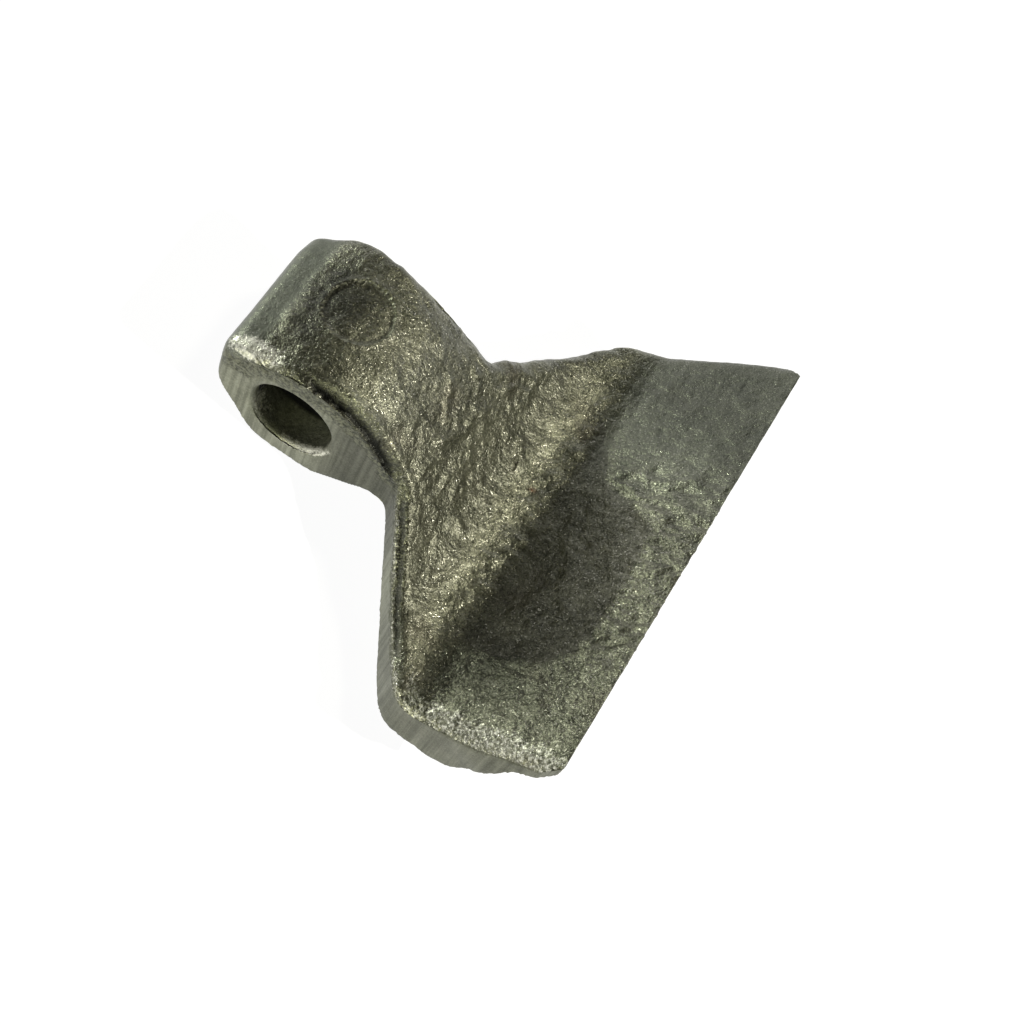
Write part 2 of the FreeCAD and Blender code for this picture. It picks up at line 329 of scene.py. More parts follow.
@dataclass
class Forging:
    """The hammer's forging: its outline in millimetres and the marks of its making."""

    node: str = "hammer"
    body: str = "root"
    slot: str = "forged_steel"
    die_frame: DieFrame = DieFrame()
    facet: float = 0.64
    crisp_angle: float = 40.0
    eye: Eye = Eye()
    valley_ahead: float = 57.0
    near_border: tuple[Point, ...] = (
        (-21.0, -20.0),
        (26.7, -20.0),
        (30.9, -22.6),
        (50.2, -50.6),
        (53.8, -55.6),
        (59.5, -58.2),
        (93.6, -61.7),
    )
    mark_centre: Point = (0.3, 2.0)
    mark_radius: float = 8.3
    torn_depth: float = 5.6
    band_width: float = 5.4
    shoulder_fall: float = 1.3
    border_fall: float = 1.1
    die_waves: Unevenness = Unevenness(13.0, 0.24, 3.1)
    die_lumps: Unevenness = Unevenness(4.6, 0.30, 7.7)
    die_scale: Unevenness = Unevenness(2.1, 0.18, 11.3, octaves=1)
    jagged_foot: Unevenness = Unevenness(3.4, 0.38, 31.0)
    border_lumps: Unevenness = Unevenness(2.4, 0.25, 71.0)
    shear_lines: Unevenness = Unevenness(2.4, 0.07, 61.0)
    side_waves: Unevenness = Unevenness(9.0, 0.08, 67.0)
    torn_chips: Unevenness = Unevenness(1.8, 0.22, 73.0)
    torn_rag: Unevenness = Unevenness(4.0, 2.6, 83.0)
    band_rag: Unevenness = Unevenness(3.0, 1.6, 91.0)
    swells: tuple[Swell, ...] = (
        Swell((-20.8, -18.0, 4.0), (5.0, 8.0, 9.0), (-0.3, 0.0, 0.0)),
        Swell((-18.0, 19.0, 8.0), (6.0, 5.0, 8.0), (1.1, -1.5, -0.6)),
        Swell((-8.5, 19.0, 14.5), (5.0, 6.0, 6.0), (-0.1, 0.6, 0.5)),
        Swell((8.0, 19.0, 17.6), (8.0, 7.0, 7.0), (-0.3, -1.0, -0.5)),
        Swell((18.0, 19.0, 13.0), (8.0, 6.0, 9.0), (-0.5, -0.8, -0.6)),
        Swell((41.0, 38.0, -6.0), (15.0, 16.0, 12.0), (-0.5, 0.9, 0.3)),
        Swell((80.0, 60.0, 6.0), (14.0, 6.0, 9.0), (0.1, 1.1, 0.3)),
        Swell((28.0, 24.0, -2.0), (8.0, 6.0, 8.0), (0.0, 0.6, 0.4)),
        Swell((79.0, -61.0, -8.0), (9.0, 8.0, 8.0), (0.0, -0.8, -1.6)),
        Swell((4.0, -20.0, -12.0), (18.0, 4.0, 8.0), (0.0, -0.4, 0.0)),
    )
    scratches: tuple[Scratch, ...] = (
        Scratch(((-13.0, -18.7, 14.9), (-10.8, -19.8, 13.9), (-8.8, -20.0, 13.1)), 0.35, 0.25, 0.8),
        Scratch(
            ((8.4, -20.0, 15.4), (11.5, -20.0, 14.6), (15.8, -20.0, 14.0), (18.6, -20.0, 12.2)),
            0.4,
            0.25,
            0.5,
        ),
    )
    # Painted shade: ovals where the colour is darkened to stand in for shade on the crest, the ring, the
    # valley and the blade.
    painted_shade_patches: tuple[Lump, ...] = (
        Lump((-2.2, 2.6), (4.6, 6.5), 0.75, firmness=1.5),
        Lump((-8.0, -1.0), (4.8, 16.0), 0.95, firmness=2.0),
        Lump((69.0, -41.0), (13.0, 11.0), 0.95),
        Lump((79.0, -34.0), (12.0, 18.0), 0.45, firmness=2.0),
        Lump((90.0, 36.0), (5.0, 18.0), 0.6),
        Lump((80.0, 46.0), (17.0, 16.0), 0.5, firmness=2.0),
        Lump((67.0, -6.0), (11.0, 28.0), 0.4, firmness=1.5),
    )
    # Painted light: ovals where the colour is lightened to stand in for light on the neck, the ridge beside
    # the crescent, the dish's foot and the blade.
    painted_light_patches: tuple[Lump, ...] = (
        Lump((14.0, -10.5), (7.0, 4.6), 0.45),
        Lump((12.5, -15.4), (4.5, 1.9), 1.4),
        Lump((22.5, -16.6), (3.2, 1.5), 1.3),
        Lump((29.5, -17.4), (3.0, 1.8), 0.5),
        Lump((79.0, 16.0), (6.0, 8.0), 0.3),
        Lump((87.5, -22.0), (4.0, 26.0), 0.15),
        Lump((54.5, 2.0), (5.0, 48.0), 0.9, firmness=2.0),
    )
    # The first crease, the crescent beside the neck, and the fourth, along the near border, also get painted
    # shade.
    creases: tuple[Crease, ...] = (
        Crease(
            ((-3.5, -18.2), (4.0, -18.3), (10.7, -18.4), (16.5, -18.7), (22.6, -19.0), (30.6, -19.7)),
            1.25,
            -2.0,
            taper=0.2,
            raggedness=0.4,
            dark=1.25,
        ),
        Crease(
            ((2.0, -16.0), (10.0, -15.8), (17.0, -16.0), (23.5, -16.4), (30.0, -17.2)),
            1.3,
            0.75,
            taper=0.25,
        ),
        Crease(((8.8, -16.6), (16.4, -16.4), (22.4, -17.0)), 0.8, 0.5, raggedness=0.6),
        Crease(
            ((29.6, -19.4), (34.6, -25.4), (39.6, -32.5), (46.0, -42.2), (51.5, -50.4)),
            0.6,
            -0.7,
            dark=0.9,
        ),
        Crease(((32.2, -20.6), (36.8, -26.2), (41.4, -33.4), (45.5, -40.0)), 1.0, 0.6, raggedness=0.5),
        Crease(((30.5, -7.8), (32.7, -2.7), (34.6, 2.9), (35.3, 8.1), (34.8, 12.1)), 1.0, 0.75),
        Crease(((36.6, -10.0), (38.4, -4.0), (38.6, 2.0)), 0.9, 0.6),
        Crease(((24.0, 8.0), (27.5, 3.5), (29.5, -2.0)), 0.8, 0.5),
        Crease(((26.5, 15.5), (31.0, 12.5), (33.6, 7.0)), 0.8, 0.5),
        Crease(((49.5, 7.6), (47.8, 12.0), (45.6, 15.4)), 0.9, 0.65),
        Crease(((43.6, -12.6), (47.8, -15.4)), 0.9, 0.6),
        Crease(((36.0, 17.0), (38.0, 22.0), (42.5, 25.0)), 0.8, 0.6),
        Crease(((77.6, 17.5), (81.6, 20.6), (85.4, 21.6), (89.6, 21.0), (92.6, 19.3)), 0.6, 0.4),
        Crease(((10.7, -3.1), (14.5, -3.9), (16.7, -6.1)), 0.7, 0.35),
    )
    lumps: tuple[Lump, ...] = (
        Lump((28.9, -15.6), (0.8, 0.7), -0.7),
        Lump((34.9, -21.0), (2.0, 1.2), 0.4, turn=-0.9),
        Lump((56.6, -15.2), (2.2, 1.4), 1.0, turn=0.5),
        Lump((58.6, -11.4), (1.8, 1.2), 0.9, turn=0.3),
        Lump((59.3, -7.6), (1.7, 1.2), 0.8),
        Lump((57.8, -22.7), (2.0, 1.3), 1.0, turn=0.4),
        Lump((58.8, 21.0), (2.0, 1.5), 0.9),
    )

    def blank(self) -> bpy.types.Object:
        """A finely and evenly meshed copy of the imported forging.

        Returns:
            The new piece, linked to the scene.
        """
        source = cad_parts[self.node]
        work = bpy.data.objects.new("forging_blank", source.data.copy())
        bpy.context.scene.collection.objects.link(work)
        remesh = work.modifiers.new("even_facets", "REMESH")
        remesh.mode = "VOXEL"
        remesh.voxel_size = self.facet * MM
        graph = bpy.context.evaluated_depsgraph_get()
        mesh = bpy.data.meshes.new_from_object(work.evaluated_get(graph))
        bpy.data.objects.remove(work)
        piece = bpy.data.objects.new("hammer_forging", mesh)
        bpy.context.scene.collection.objects.link(piece)
        return piece

    def settle(self, piece: bpy.types.Object) -> Relief:
        """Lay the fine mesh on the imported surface.

        Args:
            piece: the evenly meshed copy.

        Returns:
            The relief of the points in the die frame, in millimetres.
        """
        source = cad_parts[self.node].data
        corners = [tuple(vertex.co / MM) for vertex in source.vertices]
        faces = [tuple(polygon.vertices) for polygon in source.polygons]
        tree = BVHTree.FromPolygons(corners, faces)
        count = len(piece.data.vertices)
        flat = np.zeros(count * 3)
        piece.data.vertices.foreach_get("co", flat)
        raw = flat.reshape(-1, 3) / MM
        found = [tree.find_nearest(Vector(row)) for row in raw]
        places = np.array([tuple(hit[0]) for hit in found])
        ways = np.array([tuple(hit[1]) for hit in found])
        return Relief(self.die_frame.to_die(places), self.die_frame.to_die(ways))

    def smooth_normals(self, piece: bpy.types.Object, relief: Relief) -> np.ndarray:
        """Averaged normals of the mesh at the relief's points, in the die frame.

        Args:
            piece: the mesh that the points are written to.
            relief: the forging's points.

        Returns:
            One direction a point.
        """
        self.write(piece, relief)
        flat = np.zeros(len(relief.points) * 3)
        piece.data.vertex_normals.foreach_get("vector", flat)
        return self.die_frame.to_die(flat.reshape(-1, 3))

    def write(self, piece: bpy.types.Object, relief: Relief) -> None:
        """Put the relief's points back into the mesh, in metres.

        Args:
            piece: the evenly meshed copy.
            relief: the forging's points.
        """
        places = self.die_frame.to_part(relief.points) * MM
        piece.data.vertices.foreach_set("co", places.ravel())
        piece.data.update()

    def border_gap(self, relief: Relief) -> np.ndarray:
        """How far each point lies from the trimmed border, seen from above.

        Args:
            relief: the forging's points.

        Returns:
            The distances in millimetres.
        """
        x, y, _z = relief.points.T
        gap, _along = distance_to_path(np.column_stack([x, -np.abs(y)]), self.near_border)
        return gap

    def depth_below_rim(self, relief: Relief, sheared: np.ndarray) -> np.ndarray:
        """How far each point of the sheared sides lies under the rim above it.

        Args:
            relief: the forging's points.
            sheared: how strongly each point belongs to the sheared sides.

        Returns:
            The depths in millimetres, large away from the sides.
        """
        x, y, z = relief.points.T
        column = np.clip(np.round(x).astype(int) + 30, 0, 129)
        depth = np.full(len(x), 99.0)
        for side in (y < 0.0, y >= 0.0):
            members = side & (sheared > 0.5) & (np.abs(y) > self.eye.half_width - 3.0)
            rim = np.full(130, -99.0)
            np.maximum.at(rim, column[members], z[members])
            depth[members] = rim[column[members]] - z[members]
        return depth

    def off_lip(self, relief: Relief) -> np.ndarray:
        """How far each point is clear of the bore and its lip, from 0 to 1.

        Args:
            relief: the forging's points.

        Returns:
            0 on the bore and its lip, 1 away from them.
        """
        from_bore = np.hypot(relief.points[:, 0], relief.points[:, 2])
        return smoothstep(from_bore, self.eye.bore_radius + 1.8, self.eye.bore_radius + 3.0)

    def sort_cut(self, relief: Relief) -> None:
        """Find which points the trimming die sheared and where the metal tore.

        Args:
            relief: the forging's points, which get the sheared and torn zones.
        """
        x, y, z = relief.points.T
        radius = self.eye.bore_radius
        half_width = self.eye.half_width
        from_bore = np.hypot(x, z)
        in_bore = smoothstep(from_bore, radius + 0.75, radius + 0.35)
        bored = in_bore * smoothstep(np.abs(y), half_width - 0.15, half_width - 0.6)
        at_back = smoothstep(x, -self.eye.back + 1.2, -self.eye.back + 0.3) * (relief.normals[:, 0] < -0.7)
        tilt = np.abs(relief.normals[:, 2])
        sheared = smoothstep(tilt, 0.30, 0.12) * (1.0 - bored) * (1.0 - at_back)
        sheared = np.maximum(sheared, smoothstep(from_bore, radius + 2.6, radius + 2.0))
        depth = self.depth_below_rim(relief, sheared) + self.torn_rag.heights(relief.points)
        torn = smoothstep(depth, self.torn_depth + 0.9, self.torn_depth - 0.9)
        relief.zones[Zone.SHEARED] = sheared
        relief.zones[Zone.TORN] = torn * sheared * (y < 0.0) * smoothstep(x, 34.0, 24.0)

    def sort_rubbed_and_highlit(self, relief: Relief) -> None:
        """Find the rims, corners and lips that rub against the rotor and the crop, with painted highlights on
        them.

        Args:
            relief: the forging's points, which get the zone of wear and painted highlights.
        """
        x, y, z = relief.points.T
        radius = self.eye.bore_radius
        half_width = self.eye.half_width
        up = relief.upward()
        near = smoothstep(y, 2.0, -2.0)
        gap = self.border_gap(relief)
        tilt = np.abs(relief.normals[:, 2])
        corner = smoothstep(tilt, 0.15, 0.5) * smoothstep(tilt, 0.97, 0.75)
        # Rims and the band along the near lower border: wear, with painted highlights where the near side
        # faces the light.
        rims = corner * smoothstep(gap, 2.2, 0.6) * up * near * smoothstep(x, 26.0, 34.0) * 0.7
        # Painted highlight on the eye's near back corner.
        eye_corner_highlight = 2.1 * np.exp(-(((x + 13.5) / 6.2) ** 2 + ((y + 17.4) / 2.7) ** 2)) * up
        reach = self.band_width + self.band_rag.heights(relief.points)
        band = 0.7 * near * smoothstep(gap - reach, 0.9, -0.9) * smoothstep(x, 51.0, 56.0) * up
        # Painted glint on one part of the bore's near lip.
        lip = smoothstep(np.hypot(x, z), radius + 2.4, radius + 1.4)
        lip = lip * smoothstep(-y, half_width - 2.4, half_width - 1.6)
        lip = lip * smoothstep(0.5 * x - 0.87 * z, 7.0, 9.5) * 1.3
        relief.zones[Zone.RUBBED_AND_HIGHLIT] = np.clip(np.maximum.reduce([rims, eye_corner_highlight, band, lip]), 0.0, 1.3)

    def sort_tones(self, relief: Relief) -> None:
        """Find the smooth and rusty places and the painted shade and painted light; the painted shade of
        creases and scratches starts empty.

        Args:
            relief: the forging's points, whose sheared zone is known.
        """
        x, y, _z = relief.points.T
        up = relief.upward()
        sheared = relief.zones[Zone.SHEARED]
        far_blade = smoothstep(x, 58.0, 66.0) * smoothstep(y, 4.0, 34.0) * 0.7
        at_back = smoothstep(x, -11.5, -14.5)
        relief.zones[Zone.SMOOTH] = np.maximum(at_back, far_blade) * (1.0 - sheared)
        relief.zones[Zone.CREASE_SHADE] = np.zeros(len(x))
        rust = np.exp(-(((x - 55.3) / 0.9) ** 2 + ((y - 6.2) / 0.6) ** 2))
        relief.zones[Zone.RUST] = rust * up
        # Painted shade and painted light from the listed ovals, on the faces that look up.
        for zone, patches in ((Zone.PAINTED_SHADE, self.painted_shade_patches), (Zone.PAINTED_LIGHT, self.painted_light_patches)):
            strength = np.zeros(len(x))
            for patch in patches:
                strength = np.maximum(strength, patch.profile(relief.plan()) * patch.rise)
            relief.zones[zone] = strength * up
        # Painted shade on the sheared near side under the neck and along the wing.
        near_side = sheared * smoothstep(y, 2.0, -2.0)
        under_neck = smoothstep(x, 4.0, 17.0) * smoothstep(x, 38.0, 31.0) * near_side
        along_wing = smoothstep(x, 36.0, 46.0) * near_side
        shaded = 0.8 * under_neck + 0.5 * along_wing
        relief.zones[Zone.PAINTED_SHADE] = np.maximum(relief.zones[Zone.PAINTED_SHADE], shaded)

    def forge(self, relief: Relief) -> None:
        """Give the forged faces the waves, lumps and scale of the dies.

        Args:
            relief: the forging's points, which move.
        """
        skin = (1.0 - relief.zones[Zone.SHEARED]) * self.off_lip(relief)
        calm = 1.0 - 0.75 * relief.zones[Zone.SMOOTH]
        patterns = (self.die_waves, self.die_lumps, self.die_scale)
        relief.push(sum(pattern.heights(relief.points) for pattern in patterns) * skin * calm)

    def flow(self, relief: Relief) -> None:
        """Raise the flow lines of the neck and the jagged foot of the dish.

        Args:
            relief: the forging's points, which move.
        """
        x, y, _z = relief.points.T
        up = relief.upward()
        stretched = relief.points * np.array([1.0, 0.55, 1.0])
        patchy = smoothstep(roughness_field(relief.points, 8.0, 17.0, 1), -0.15, 0.35)
        neck = smoothstep(x, 14.0, 24.0) * smoothstep(x, 58.0, 48.0) * up * patchy
        flow = (0.18 - ridge_field(stretched, 5.0, 21.0)) * 1.4
        relief.push(np.clip(flow, -0.15, 0.33) * neck)
        foot = np.exp(-(((x - self.valley_ahead) / 3.6) ** 2)) * smoothstep(np.abs(y), 44.0, 30.0)
        relief.push(self.jagged_foot.heights(relief.points) * foot * up)
        wrinkled = relief.points * np.array([0.5, 1.0, 0.5])
        ahead = smoothstep(x, 64.0, 72.0) * smoothstep(np.abs(y + 6.0), 32.0, 22.0) * up
        relief.push((0.18 - ridge_field(wrinkled, 2.9, 41.0)) * ahead)

    def warp(self, relief: Relief) -> None:
        """Let the forging stand out and draw back where its own form is uneven.

        Args:
            relief: the forging's points, which move.
        """
        x, y, _z = relief.points.T
        across = smoothstep(-y, 8.5, 17.5) + smoothstep(y, 10.5, 18.5) * smoothstep(x, 4.0, 12.0)
        on_eye = smoothstep(x, -16.0, -8.0) * smoothstep(x, 34.0, 22.0) * relief.upward()
        relief.lift(-self.shoulder_fall * across * on_eye)
        for swell in self.swells:
            relief.points = relief.points + swell.offsets(relief.points)

    def round_lip(self, relief: Relief) -> None:
        """Lay the points next to the bore's mouths on an even rounding, as wear leaves it.

        Args:
            relief: the forging's points, which move.
        """
        x, y, z = relief.points.T
        from_bore = np.maximum(np.hypot(x, z), 0.001)
        across = from_bore - self.eye.bore_radius - self.eye.lip_round
        along = np.abs(y) - self.eye.half_width + self.eye.lip_round
        reach = np.maximum(np.hypot(across, along), 0.001)
        share = np.where((across < 0.0) & (along > 0.0), self.eye.lip_round / reach, 1.0)
        radius = from_bore + across * (share - 1.0)
        relief.points[:, 0] = x * radius / from_bore
        relief.points[:, 2] = z * radius / from_bore
        relief.points[:, 1] = y + np.sign(y) * along * (share - 1.0)

    def round_borders(self, relief: Relief) -> None:
        """Let the blade fall away towards its borders in a broad rounding, as wear leaves it.

        Args:
            relief: the forging's points, which move.
        """
        gap = self.border_gap(relief)
        on_blade = smoothstep(relief.points[:, 0], 50.0, 60.0) * relief.upward()
        coarse = self.border_lumps.heights(relief.points)
        band = smoothstep(gap, self.band_width + 0.8, 1.5)
        near = smoothstep(relief.points[:, 1], 10.0, -10.0)
        fall = self.border_fall * band * (0.15 + 0.85 * near)
        relief.lift((coarse * near - fall) * band * on_blade)

    def mark(self, relief: Relief) -> None:
        """Press the listed creases, lumps and the ejector's ring into the top.

        Args:
            relief: the forging's points, which move, and where the painted shade of creases and scratches is
                noted.
        """
        plan = relief.plan()
        outside = self.off_lip(relief)
        up = relief.upward() * outside
        total = np.zeros(len(plan))
        for index, crease in enumerate(self.creases):
            strength = crease.profile(plan, 50.0 + index) * (relief.normals[:, 2] > 0.02) * outside
            total += strength * crease.rise
            # Painted shade in the crease, by its dark share.
            relief.zones[Zone.CREASE_SHADE] = np.maximum(relief.zones[Zone.CREASE_SHADE], strength * crease.dark)
        for lump in self.lumps:
            total += lump.profile(plan) * lump.rise * up
        from_mark = np.hypot(plan[:, 0] - self.mark_centre[0], plan[:, 1] - self.mark_centre[1])
        total += np.exp(-(((from_mark - self.mark_radius - 0.4) / 0.55) ** 2)) * 0.4 * up
        total -= np.exp(-(((from_mark - self.mark_radius + 1.0) / 0.6) ** 2)) * 0.25 * up
        relief.lift(total)
        cut = np.zeros(len(plan))
        for scratch in self.scratches:
            strength = scratch.profile(relief.points)
            cut -= strength * scratch.depth
            # Painted shade along the scratch.
            relief.zones[Zone.CREASE_SHADE] = np.maximum(relief.zones[Zone.CREASE_SHADE], strength * scratch.dark)
        relief.push(cut)

    def shear(self, relief: Relief) -> None:
        """Cut the shear lines into the trimmed sides, along the dies' direction.

        Args:
            relief: the forging's points, which move.
        """
        along_sides = relief.points * np.array([1.0, 1.0, 0.03])
        lines = self.shear_lines.heights(along_sides)
        waves = self.side_waves.heights(relief.points)
        torn = relief.zones[Zone.TORN]
        chips = self.torn_chips.heights(relief.points)
        sides = relief.zones[Zone.SHEARED] * self.off_lip(relief)
        relief.push((lines * (1.0 - torn) + waves + chips * torn) * sides)

    def store_zones(self, piece: bpy.types.Object, relief: Relief) -> None:
        """Keep each zone's strengths on the mesh for the finish to read.

        Args:
            piece: the forging's mesh.
            relief: the points with their zones.
        """
        for zone, strengths in relief.zones.items():
            attribute = piece.data.attributes.new(zone.value, "FLOAT", "POINT")
            attribute.data.foreach_set("value", strengths.astype(np.float32))

    def build(self, finish: "SteelFinish") -> bpy.types.Object:
        """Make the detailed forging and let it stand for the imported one.

        Args:
            finish: the steel that it is dressed in.

        Returns:
            The finished piece.
        """
        piece = self.blank()
        relief = self.settle(piece)
        self.sort_cut(relief)
        self.sort_rubbed_and_highlit(relief)
        self.sort_tones(relief)
        self.round_lip(relief)
        relief.normals = self.smooth_normals(piece, relief)
        self.warp(relief)
        self.round_borders(relief)
        self.forge(relief)
        self.flow(relief)
        self.mark(relief)
        self.shear(relief)
        self.write(piece, relief)
        self.store_zones(piece, relief)
        piece.data.shade_smooth()
        piece.data.set_sharp_from_angle(angle=math.radians(self.crisp_angle))
        piece.data.materials.clear()
        piece.data.materials.append(finish.material())
        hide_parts(self.node)
        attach(piece, self.body)
        LOG.info("forging: %d faces in %s", len(piece.data.polygons), piece.name)
        return piece


class Shade:
    """One output of a shader node, with the arithmetic that the finishes use."""

    def __init__(self, graph: "Graph", socket: bpy.types.NodeSocket) -> None:
        """Hold a graph and one of its output sockets."""
        self.graph = graph
        self.socket = socket

    def _maths(self, operation: str, first: "Shade | float", second: "Shade | float") -> "Shade":
        """One Math node on two values."""
        return self.graph.node("ShaderNodeMath", {"operation": operation}, {0: first, 1: second})

    def __add__(self, other: "Shade | float") -> "Shade":
        """self + other."""
        return self._maths("ADD", self, other)

    def __radd__(self, other: float) -> "Shade":
        """other + self."""
        return self._maths("ADD", other, self)

    def __sub__(self, other: "Shade | float") -> "Shade":
        """self - other."""
        return self._maths("SUBTRACT", self, other)

    def __rsub__(self, other: float) -> "Shade":
        """other - self."""
        return self._maths("SUBTRACT", other, self)

    def __mul__(self, other: "Shade | float") -> "Shade":
        """self * other."""
        return self._maths("MULTIPLY", self, other)

    def __rmul__(self, other: float) -> "Shade":
        """other * self."""
        return self._maths("MULTIPLY", other, self)

    def largest(self, other: "Shade | float") -> "Shade":
        """The larger of two values."""
        return self._maths("MAXIMUM", self, other)

    def between(self, low: float, high: float) -> "Shade":
        """A soft step from 0 at low to 1 at high.

        Args:
            low: the value where the step is 0.
            high: the value where the step is 1.

        Returns:
            The step.
        """
        return self.graph.node(
            "ShaderNodeMapRange",
            {"interpolation_type": "SMOOTHSTEP"},
            {"Value": self, "From Min": low, "From Max": high},
        )


class Graph:
    """A node tree that is written by one method for every kind of node."""

    def __init__(self, tree: bpy.types.NodeTree) -> None:
        """Empty a node tree and hold it."""
        self.tree = tree
        tree.nodes.clear()

    def node(
        self,
        kind: str,
        settings: dict[str, object] | None = None,
        sockets: dict[int | str, "Shade | float | tuple"] | None = None,
        output: int | str = 0,
    ) -> Shade:
        """Add one node.

        Args:
            kind: the node's type.
            settings: its own options; "stops" are a ramp's places and colours.
            sockets: values or links by socket name or number.
            output: the socket that the result is taken from.

        Returns:
            The chosen output.
        """
        made = self.tree.nodes.new(kind)
        for name, value in (settings or {}).items():
            if name == "stops":
                ramp = made.color_ramp.elements
                while len(ramp) < len(value):
                    ramp.new(0.5)
                for element, (place, colour) in zip(ramp, value):
                    element.position = place
                    element.color = (*colour, 1.0)
            else:
                setattr(made, name, value)
        for name, value in (sockets or {}).items():
            self.feed(self.find(made.inputs, name), value)
        return Shade(self, self.find(made.outputs, output))

    @staticmethod
    def find(sockets: bpy.types.bpy_prop_collection, name: int | str) -> bpy.types.NodeSocket:
        """A socket by its number, its identifier or its name.

        Args:
            sockets: a node's inputs or outputs.
            name: the number, identifier or name.

        Returns:
            The socket.
        """
        if isinstance(name, int):
            return sockets[name]
        for socket in sockets:
            if socket.identifier == name:
                return socket
        return sockets[name]

    def feed(self, socket: bpy.types.NodeSocket, value: "Shade | float | tuple") -> None:
        """Link a shade to a socket, or set a plain value on it.

        Args:
            socket: the input to fill.
            value: a shade, a number, a colour or a vector.
        """
        if isinstance(value, Shade):
            self.tree.links.new(value.socket, socket)
        elif isinstance(value, tuple) and socket.type == "RGBA":
            socket.default_value = (*value, 1.0)
        else:
            socket.default_value = value

    def blend(self, share: "Shade | float", first: "Shade | Colour", second: "Shade | Colour") -> Shade:
        """Mix two colours: the first where the share is 0, the second where it is 1.

        Args:
            share: how much of the second shows.
            first: the colour at 0.
            second: the colour at 1.

        Returns:
            The mixed colour.
        """
        return self.node(
            "ShaderNodeMix",
            {"data_type": "RGBA"},
            {"Factor_Float": share, "A_Color": first, "B_Color": second},
            "Result_Color",
        )

    def slide(self, share: "Shade | float", first: "Shade | float", second: "Shade | float") -> Shade:
        """Mix two values: the first where the share is 0, the second where it is 1.

        Args:
            share: how much of the second counts.
            first: the value at 0.
            second: the value at 1.

        Returns:
            The mixed value.
        """
        return self.node(
            "ShaderNodeMix",
            {"data_type": "FLOAT"},
            {"Factor_Float": share, "A_Float": first, "B_Float": second},
            "Result_Float",
        )

    def mask(self, zone: Zone) -> Shade:
        """How strongly a zone holds at the shaded place."""
        return self.node("ShaderNodeAttribute", {"attribute_name": zone.value}, {}, "Fac")

    def grain(self, place: Shade, size: float, detail: float = 2.0, roughness: float = 0.5) -> Shade:
        """Noise from 0 to 1 with lumps of a size in millimetres.

        Args:
            place: the shaded place in millimetres.
            size: the width of the lumps.
            detail: how many finer layers are added.
            roughness: how strong the finer layers are.

        Returns:
            The noise.
        """
        return self.node(
            "ShaderNodeTexNoise",
            {"noise_dimensions": "3D"},
            {"Vector": place, "Scale": 1.0 / size, "Detail": detail, "Roughness": roughness},
        )

    def die_place(self, slope: float) -> Shade:
        """The shaded place in the die frame, in millimetres.

        Args:
            slope: the turn about the bore, in radians.

        Returns:
            The place.
        """
        place = self.node("ShaderNodeTexCoord", {}, {}, "Object")
        turned = self.node(
            "ShaderNodeVectorRotate", {"rotation_type": "Y_AXIS"}, {"Vector": place, "Angle": slope}
        )
        in_mm = {"Vector": turned, "Scale": 1.0 / MM}
        return self.node("ShaderNodeVectorMath", {"operation": "SCALE"}, in_mm)

    def stretched(self, place: Shade, shares: tuple[float, float, float]) -> Shade:
        """A place with each direction multiplied by its own share."""
        return self.node("ShaderNodeVectorMath", {"operation": "MULTIPLY"}, {0: place, 1: shares})


@dataclass(frozen=True)
class Layer:
    """What one kind of surface gives the steel: its colour, gloss and height."""

    colour: Shade
    roughness: Shade
    height: Shade


@dataclass(frozen=True)
class ForgedScale:
    """The coarse, sparkling scale of the forged faces."""

    dark: Colour = (0.044, 0.047, 0.032)
    light: Colour = (0.240, 0.242, 0.180)
    bright: Colour = (0.60, 0.59, 0.50)
    brown: Colour = (0.105, 0.088, 0.066)

    def layer(self, graph: Graph, place: Shade) -> Layer:
        """The scale's layer at a place in millimetres.

        Args:
            graph: the node tree that it is written in.
            place: the shaded place in millimetres.

        Returns:
            The layer's colour, roughness and height.
        """
        patches = graph.grain(place, 7.0, 3.0, 0.6)
        speckle = graph.grain(place, 0.42, 2.0, 0.6)
        crust = graph.grain(place, 1.1, 2.0, 0.6)
        pebble = graph.grain(place, 2.3, 2.0, 0.55)
        tone = (patches * 0.45 + crust * 0.50 + speckle * 0.65).between(0.54, 1.02)
        colour = graph.blend(tone, self.dark, self.light)
        glint = graph.grain(place, 0.40, 1.0).between(0.61, 0.68)
        colour = graph.blend(glint * 0.75, colour, self.bright)
        stain = graph.grain(place, 16.0, 2.0).between(0.56, 0.74) * 0.3
        colour = graph.blend(stain, colour, self.brown)
        roughness = graph.slide(glint, 0.36, 0.25)
        height = pebble * 0.40 + crust * 0.30 + speckle * 0.15
        return Layer(colour, roughness, height)


@dataclass(frozen=True)
class ShearedFace:
    """The smoother sides that the trimming die sheared, with lines along its stroke."""

    dark: Colour = (0.150, 0.155, 0.112)
    light: Colour = (0.440, 0.448, 0.350)

    def layer(self, graph: Graph, place: Shade) -> Layer:
        """The sheared sides' layer at a place in millimetres.

        Args:
            graph: the node tree that it is written in.
            place: the shaded place in millimetres.

        Returns:
            The layer's colour, roughness and height.
        """
        stroke = graph.stretched(place, (1.0, 1.0, 0.025))
        lines = graph.grain(stroke, 1.1, 2.5, 0.6)
        fine = graph.grain(place, 0.45, 3.0, 0.6)
        patches = graph.grain(place, 6.0, 2.0)
        tone = (lines * 0.5 + fine * 0.4 + patches * 0.2).between(0.35, 0.80)
        colour = graph.blend(tone, self.dark, self.light)
        roughness = graph.slide(lines, 0.60, 0.46)
        height = lines * 0.12 + fine * 0.09
        return Layer(colour, roughness, height)


